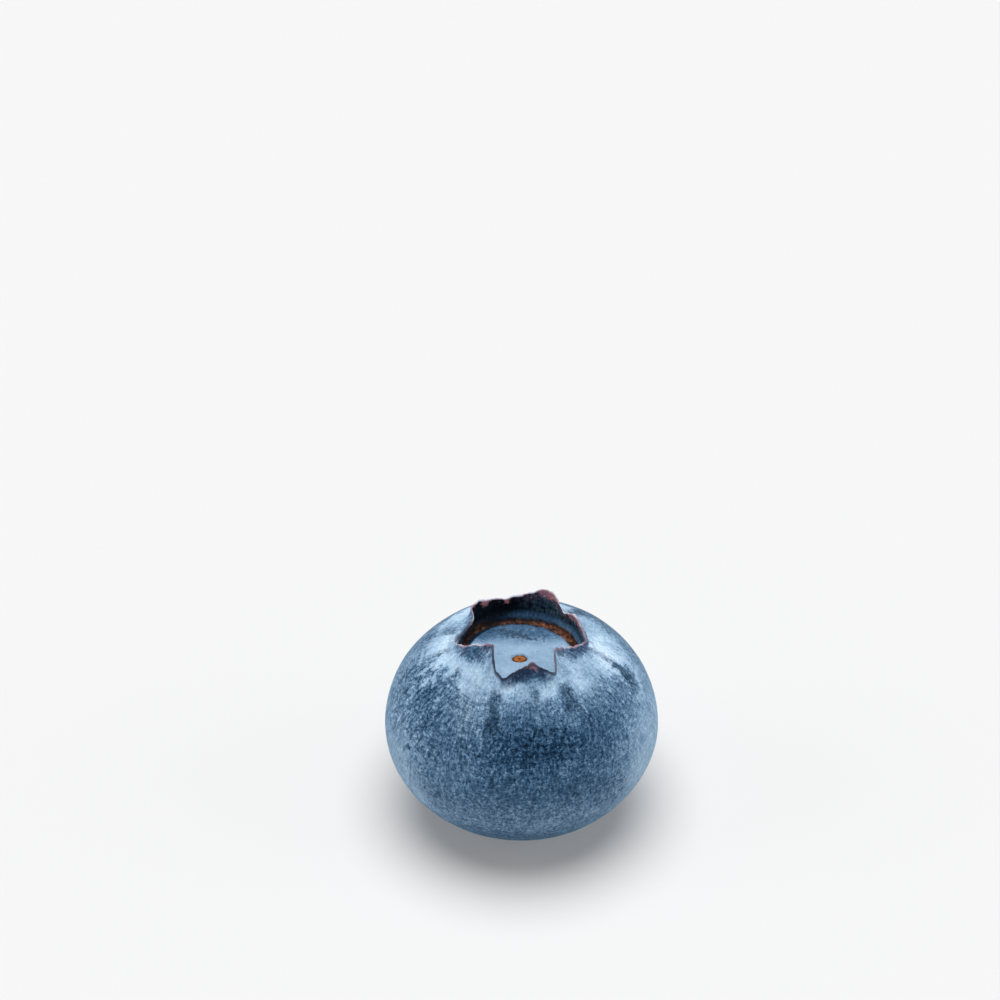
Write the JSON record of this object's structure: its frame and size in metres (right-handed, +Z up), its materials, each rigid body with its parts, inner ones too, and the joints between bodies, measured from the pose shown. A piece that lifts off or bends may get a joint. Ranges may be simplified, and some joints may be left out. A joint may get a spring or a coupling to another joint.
{
  "type": "blueberry",
  "caption": "Ripe highbush blueberry with a bloomed blue skin and a ragged crown round a sunken disc, resting on its stem end.",
  "frame": {"origin": "middle of the small flat spot under the stem end, on the surface that the berry rests on", "axes": "+Z up through the crown, -Y to the side that faces the viewer in the picture, +X to the right there"},
  "size_m": [0.016, 0.016, 0.0136],
  "materials": {
    "skin": "matt waxy bloom, pale grey-blue in patches and specks over blue-black skin, dry dark crown lobes, orange-brown cork ring and scars"
  },
  "bodies": {
    "root": {"fruit": "skin"}
  },
  "joints": []
}
